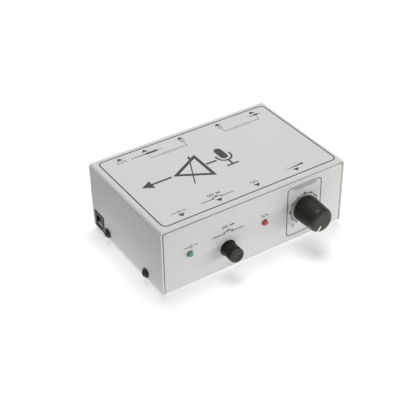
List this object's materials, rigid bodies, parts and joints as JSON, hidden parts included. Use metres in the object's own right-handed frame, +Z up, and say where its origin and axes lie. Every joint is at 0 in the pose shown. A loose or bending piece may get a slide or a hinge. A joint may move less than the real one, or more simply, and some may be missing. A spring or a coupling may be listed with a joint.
{
  "type": "microphone preamplifier",
  "caption": "Desktop microphone preamplifier: folded sheet-metal case with a turning gain knob, a press button, signal lamps, a side rocker switch and rear audio sockets.",
  "frame": {"origin": "on the desk, under the middle of the whole object's box", "axes": "+X to the right seen from the front, +Y from the front panel to the rear panel, +Z up"},
  "size_m": [0.1396, 0.111, 0.0497],
  "materials": {
    "case_paint": "light grey powder coat, satin",
    "print_ink": "screen print",
    "print_grey": "screen print",
    "print_white": "pad print",
    "black_steel": "black oxide",
    "foot_rubber": "matt",
    "plated_steel": "zinc plated",
    "board_laminate": "solder mask",
    "knob_plastic": "moulded",
    "knob_face": "fine matt",
    "pointer_white": "paint fill",
    "brown_laminate": "phenolic",
    "tinned_brass": "tinned",
    "button_plastic": "moulded",
    "white_plastic": "moulded",
    "black_plastic": "moulded",
    "rocker_plastic": "semi gloss",
    "green_lens": "tinted epoxy",
    "red_lens": "tinted epoxy",
    "nickel": "satin nickel",
    "contact_silver": "silver plated",
    "capacitor_sleeve": "sleeve",
    "film_red": "dipped",
    "resistor_tan": "lacquered",
    "winding_copper": "enamelled wire"
  },
  "bodies": {
    "case": {"top_cover": "case_paint", "chassis": "case_paint", "cover_screws": "black_steel", "rubber_feet": "foot_rubber", "board_standoffs": "plated_steel", "main_board": "board_laminate", "board_screws": "plated_steel", "pot_bushing": "plated_steel", "pot_can": "plated_steel", "pot_wafer": "brown_laminate", "pot_terminals": "tinned_brass", "pot_washer": "plated_steel", "pot_nut": "plated_steel", "phantom_spring": "plated_steel", "phantom_switch_housing": "black_plastic", "phantom_terminals": "tinned_brass", "button_collar": "black_plastic", "power_led": "green_lens", "clip_led": "red_lens", "led_holders": "black_plastic", "led_leads": "tinned_brass", "power_switch_housing": "black_plastic", "power_switch_terminals": "tinned_brass", "dc_inlet_body": "black_plastic", "dc_inlet_pin": "nickel", "dc_inlet_terminals": "tinned_brass", "output_jack_housing": "black_plastic", "input_jack_housing": "black_plastic", "jack_washers": "plated_steel", "jack_nuts": "nickel", "jack_terminals": "tinned_brass", "output_xlr_shell": "nickel", "output_xlr_insert": "black_plastic", "output_xlr_pins": "contact_silver", "input_xlr_shell": "nickel", "input_xlr_insert": "black_plastic", "input_xlr_contacts": "contact_silver", "xlr_leads": "tinned_brass", "latch_spring": "plated_steel", "xlr_screws": "black_steel", "op_amps": "black_plastic", "electrolytic_capacitors": "capacitor_sleeve", "film_capacitors": "film_red", "resistors": "resistor_tan", "converter_coil": "winding_copper", "regulator": "black_plastic"},
    "gain_control": {"pot_shaft": "plated_steel", "gain_knob": "knob_plastic", "knob_cap": "knob_face", "knob_pointer": "pointer_white"},
    "phantom_control": {"phantom_plunger": "white_plastic", "phantom_button": "button_plastic"},
    "power_rocker": {"power_rocker": "rocker_plastic"},
    "xlr_latch": {"input_xlr_latch": "plated_steel"}
  },
  "joints": [
    {"name": "gain_turn", "type": "hinge", "parent": "case", "child": "gain_control", "pos_m": [0.0368, -0.0365, 0.0257], "axis": [0, 1, 0], "range_deg": [0, 300]},
    {"name": "phantom_press", "type": "slide", "parent": "case", "child": "phantom_control", "axis": [0, 1, 0], "range_m": [0, 0.003], "stiffness_N_per_m": 300, "deforming": ["phantom_spring"]},
    {"name": "rocker_tilt", "type": "hinge", "parent": "case", "child": "power_rocker", "pos_m": [-0.0649, 0.0415, 0.00995], "axis": [0, -1, 0], "range_deg": [0, 20]},
    {"name": "latch_press", "type": "slide", "parent": "case", "child": "xlr_latch", "axis": [0, -1, 0], "range_m": [0, 0.001], "stiffness_N_per_m": 400, "deforming": ["latch_spring"]}
  ]
}
